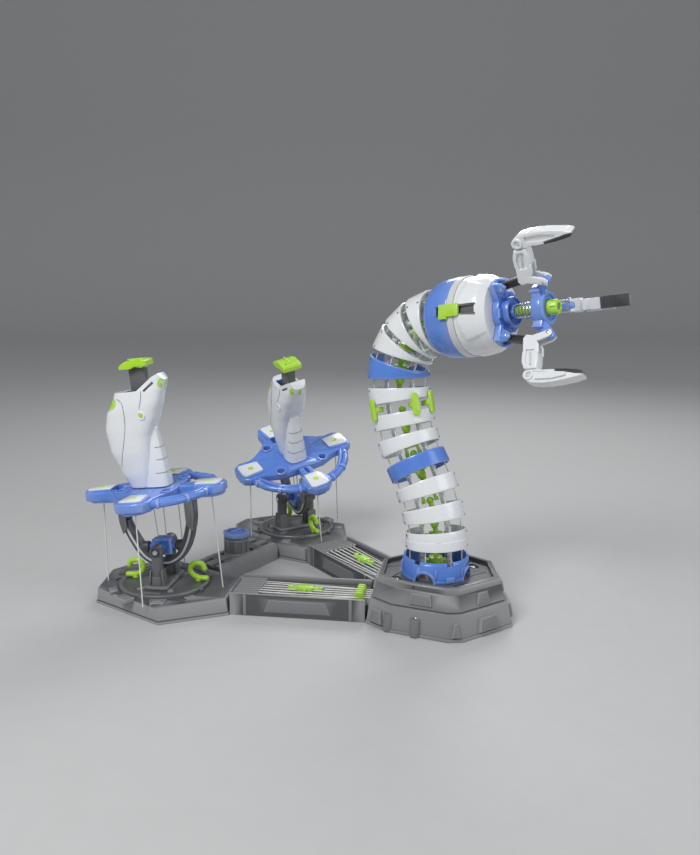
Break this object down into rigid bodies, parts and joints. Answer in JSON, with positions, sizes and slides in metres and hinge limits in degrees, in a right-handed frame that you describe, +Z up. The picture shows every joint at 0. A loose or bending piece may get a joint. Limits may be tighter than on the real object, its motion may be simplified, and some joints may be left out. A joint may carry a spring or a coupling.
{
  "type": "tendon driven robot arm kit",
  "caption": "Tabletop tendon-driven robot arm with a segmented spine, three-fingered claw and two tilting joysticks on a triangular base.",
  "frame": {"origin": "centre of the bounding box's bottom face, on the surface the base stands on", "axes": "+X to the side the claw points, the longest extent; +Y away from the front beam, towards the rear joystick; +Z up"},
  "size_m": [0.5057, 0.405, 0.363],
  "materials": {
    "base_grey": "satin moulded ABS",
    "dark_plastic": "satin moulded ABS",
    "blue_plastic": "semi-gloss moulded ABS",
    "green_plastic": "semi-gloss moulded ABS",
    "white_plastic": "gloss moulded ABS",
    "steel": "bright screws and coil springs",
    "string": "braided cord",
    "rubber": "soft fingertip pads"
  },
  "bodies": {
    "base": {"tower_skirt": "base_grey", "tower_top": "base_grey", "arm_collar": "blue_plastic", "left_plate": "base_grey", "rear_plate": "base_grey", "left_post": "base_grey", "rear_post": "base_grey", "front_beam": "base_grey", "rear_beam": "base_grey", "link_beam": "base_grey", "front_comb": "green_plastic", "rear_comb": "green_plastic", "left_hook_a": "green_plastic", "left_hook_b": "green_plastic", "rear_hook_a": "green_plastic", "rear_hook_b": "green_plastic"},
    "lock_knob": {"lock_knob": "blue_plastic"},
    "front_coupler": {"front_coupler": "green_plastic"},
    "rear_coupler": {"rear_coupler": "green_plastic"},
    "left_gimbal": {"left_cross": "blue_plastic"},
    "left_stick": {"left_yoke": "base_grey", "left_swash_plate": "blue_plastic", "left_grip": "white_plastic"},
    "left_trigger": {"left_plunger": "dark_plastic", "left_thumb_cap": "green_plastic"},
    "rear_gimbal": {"rear_cross": "blue_plastic"},
    "rear_stick": {"rear_yoke": "base_grey", "rear_swash_plate": "blue_plastic", "rear_grip": "white_plastic"},
    "rear_trigger": {"rear_plunger": "dark_plastic", "rear_thumb_cap": "green_plastic"},
    "segment_01": {"ring_01": "white_plastic"},
    "segment_02": {"ring_02": "white_plastic"},
    "segment_03": {"ring_03": "white_plastic"},
    "segment_04": {"ring_04": "blue_plastic"},
    "segment_05": {"ring_05": "white_plastic"},
    "segment_06": {"ring_06": "white_plastic", "ring_07": "white_plastic", "ring_clip_1": "green_plastic", "ring_clip_2": "green_plastic", "ring_clip_3": "green_plastic"},
    "segment_08": {"ring_08": "blue_plastic"},
    "segment_09": {"ring_09": "white_plastic"},
    "segment_10": {"ring_10": "white_plastic"},
    "segment_11": {"ring_11": "white_plastic"},
    "head": {"head_band": "blue_plastic", "head_dome": "white_plastic"},
    "head_tab": {"head_tab": "green_plastic"},
    "claw_mount": {"claw_hub": "blue_plastic"},
    "claw_drive": {"claw_spider": "blue_plastic", "claw_spindle": "green_plastic"},
    "finger_a": {"finger_a_root": "white_plastic", "finger_a_tip": "white_plastic"},
    "rocker_a": {"rocker_a": "dark_plastic"},
    "finger_b": {"finger_b_root": "white_plastic", "finger_b_tip": "white_plastic"},
    "rocker_b": {"rocker_b": "dark_plastic"},
    "finger_c": {"finger_c_root": "white_plastic", "finger_c_tip": "white_plastic"},
    "rocker_c": {"rocker_c": "dark_plastic"}
  },
  "joints": [
    {"name": "arm_00", "type": "hinge", "parent": "base", "child": "segment_01", "pos_m": [0.09, -0.0891, 0.0662], "axis": [0.9991, 0.0024, 0.0417], "range_deg": [-8, 8]},
    {"name": "arm_01", "type": "hinge", "parent": "segment_01", "child": "segment_02", "pos_m": [0.08865, -0.08701, 0.08958], "axis": [0.0225, 0.9713, -0.237], "range_deg": [-8, 8]},
    {"name": "arm_02", "type": "hinge", "parent": "segment_02", "child": "segment_03", "pos_m": [0.08442, -0.08178, 0.11228], "axis": [0.9534, 0.045, 0.2983], "range_deg": [-8.3, 8.3]},
    {"name": "arm_03", "type": "hinge", "parent": "segment_03", "child": "segment_04", "pos_m": [0.07749, -0.0749, 0.13366], "axis": [0.0756, 0.932, -0.3546], "range_deg": [-8.3, 8.3]},
    {"name": "arm_04", "type": "hinge", "parent": "segment_04", "child": "segment_05", "pos_m": [0.06933, -0.06732, 0.1544], "axis": [0.9534, 0.045, 0.2983], "range_deg": [-8.3, 8.3]},
    {"name": "arm_05", "type": "hinge", "parent": "segment_05", "child": "segment_06", "pos_m": [0.06262, -0.0608, 0.17556], "axis": [0.0146, 0.9826, -0.1853], "range_deg": [-8.3, 8.3]},
    {"name": "arm_07", "type": "hinge", "parent": "segment_06", "child": "segment_08", "pos_m": [0.05589, -0.05238, 0.22123], "axis": [-0.0012, 0.9997, -0.0248], "range_deg": [-5, 5]},
    {"name": "arm_08", "type": "hinge", "parent": "segment_08", "child": "segment_09", "pos_m": [0.0583, -0.05186, 0.24298], "axis": [0.9106, 0.0325, -0.4119], "range_deg": [-5, 5]},
    {"name": "arm_09", "type": "hinge", "parent": "segment_09", "child": "segment_10", "pos_m": [0.06589, -0.05466, 0.26064], "axis": [0.1203, 0.9413, 0.3153], "range_deg": [-5.3, 5.3]},
    {"name": "arm_10", "type": "hinge", "parent": "segment_10", "child": "segment_11", "pos_m": [0.07763, -0.06077, 0.27319], "axis": [0.5715, 0.2783, -0.772], "range_deg": [-5.3, 5.3]},
    {"name": "arm_11", "type": "hinge", "parent": "segment_11", "child": "head", "pos_m": [0.09175, -0.06988, 0.28134], "axis": [0.4239, 0.6443, 0.6365], "range_deg": [-5.3, 5.3]},
    {"name": "left_tilt_fore", "type": "hinge", "parent": "base", "child": "left_gimbal", "pos_m": [-0.17703, -0.04919, 0.057], "axis": [0.1478, 0.989, 0], "range_deg": [-16.2, 16.2]},
    {"name": "left_tilt_side", "type": "hinge", "parent": "left_gimbal", "child": "left_stick", "pos_m": [-0.17703, -0.04919, 0.057], "axis": [0.9845, -0.1471, 0.0958], "range_deg": [-16.2, 16.2]},
    {"name": "rear_tilt_fore", "type": "hinge", "parent": "base", "child": "rear_gimbal", "pos_m": [-0.05705, 0.13734, 0.057], "axis": [0.8387, 0.5446, 0], "range_deg": [-16.2, 16.2]},
    {"name": "rear_tilt_side", "type": "hinge", "parent": "rear_gimbal", "child": "rear_stick", "pos_m": [-0.05705, 0.13734, 0.057], "axis": [0.5118, -0.7881, -0.342], "range_deg": [-16.2, 16.2]},
    {"name": "left_plunger_slide", "type": "slide", "parent": "left_stick", "child": "left_trigger", "axis": [-0.0948, 0.0142, 0.9954], "range_m": [-0.0122, 0.0002]},
    {"name": "rear_plunger_slide", "type": "slide", "parent": "rear_stick", "child": "rear_trigger", "axis": [-0.0072, -0.402, 0.9156], "range_m": [-0.012, 0], "stiffness_N_per_m": 150, "springref_m": 0.006},
    {"name": "front_coupler_slide", "type": "slide", "parent": "base", "child": "front_coupler", "axis": [0.989, -0.1478, 0], "range_m": [-0.0101, 0.0101]},
    {"name": "rear_coupler_slide", "type": "slide", "parent": "base", "child": "rear_coupler", "axis": [0.5446, -0.8387, 0], "range_m": [-0.0101, 0.0101]},
    {"name": "lock_knob_turn", "type": "hinge", "parent": "base", "child": "lock_knob", "pos_m": [-0.11704, 0.04408, 0.037], "axis": [0, 0, 1], "range_deg": [-90, 90]},
    {"name": "head_tab_slide", "type": "slide", "parent": "head", "child": "head_tab", "axis": [0.7586, -0.6365, 0.1392], "range_m": [-0.0002, 0.0122]},
    {"name": "wrist_turn", "type": "hinge", "parent": "head", "child": "claw_mount", "pos_m": [0.094, -0.07177, 0.28176], "axis": [0.7586, -0.6365, 0.1392], "range_deg": [-90, 90]},
    {"name": "claw_slide", "type": "slide", "parent": "claw_mount", "child": "claw_drive", "axis": [0.7586, -0.6365, 0.1392], "range_m": [-0.018, 0], "stiffness_N_per_m": 200, "springref_m": 0.008},
    {"name": "finger_a_swing", "type": "hinge", "parent": "claw_drive", "child": "finger_a", "pos_m": [0.19827, -0.12467, 0.29776], "axis": [-0.1066, 0.0895, 0.9903], "range_deg": [-51.5, 0.5]},
    {"name": "rocker_a_swing", "type": "hinge", "parent": "claw_mount", "child": "rocker_a", "pos_m": [0.16761, -0.0996, 0.29219], "axis": [-0.1066, 0.0895, 0.9903], "range_deg": [-0.5, 43]},
    {"name": "finger_b_swing", "type": "hinge", "parent": "claw_drive", "child": "finger_b", "pos_m": [0.17028, -0.15307, 0.32049], "axis": [-0.5034, -0.7081, -0.4951], "range_deg": [-51.5, 0.5]},
    {"name": "rocker_b_swing", "type": "hinge", "parent": "claw_mount", "child": "rocker_b", "pos_m": [0.14014, -0.12746, 0.31449], "axis": [-0.5034, -0.7081, -0.4951], "range_deg": [-0.5, 43]},
    {"name": "finger_c_swing", "type": "hinge", "parent": "claw_drive", "child": "finger_c", "pos_m": [0.17517, -0.15718, 0.27503], "axis": [0.61, 0.6187, -0.4951], "range_deg": [-51.5, 0.5]},
    {"name": "rocker_c_swing", "type": "hinge", "parent": "claw_mount", "child": "rocker_c", "pos_m": [0.14494, -0.13149, 0.2699], "axis": [0.61, 0.6187, -0.4951], "range_deg": [-0.5, 43]}
  ],
  "couplings": [
    {"joint": "arm_02", "follows": "arm_00", "ratio": 1},
    {"joint": "arm_04", "follows": "arm_00", "ratio": 1},
    {"joint": "left_tilt_side", "follows": "arm_00", "ratio": 2},
    {"joint": "arm_03", "follows": "arm_01", "ratio": 1},
    {"joint": "arm_05", "follows": "arm_01", "ratio": 1},
    {"joint": "left_tilt_fore", "follows": "arm_01", "ratio": 2},
    {"joint": "front_coupler_slide", "follows": "arm_01", "m_per_rad": 0.07019},
    {"joint": "arm_09", "follows": "arm_07", "ratio": 1},
    {"joint": "arm_11", "follows": "arm_07", "ratio": 1},
    {"joint": "rear_tilt_fore", "follows": "arm_07", "ratio": 3},
    {"joint": "rear_coupler_slide", "follows": "arm_07", "m_per_rad": 0.1123},
    {"joint": "arm_10", "follows": "arm_08", "ratio": 1},
    {"joint": "rear_tilt_side", "follows": "arm_08", "ratio": 2.2},
    {"joint": "left_plunger_slide", "follows": "claw_slide", "ratio": 0.66667},
    {"joint": "head_tab_slide", "follows": "rear_plunger_slide", "ratio": -1},
    {"joint": "finger_a_swing", "follows": "claw_slide", "rad_per_m": 49.4},
    {"joint": "finger_b_swing", "follows": "claw_slide", "rad_per_m": 49.4},
    {"joint": "finger_c_swing", "follows": "claw_slide", "rad_per_m": 49.4},
    {"joint": "rocker_a_swing", "follows": "claw_slide", "rad_per_m": -41.2},
    {"joint": "rocker_b_swing", "follows": "claw_slide", "rad_per_m": -41.2},
    {"joint": "rocker_c_swing", "follows": "claw_slide", "rad_per_m": -41.2}
  ]
}
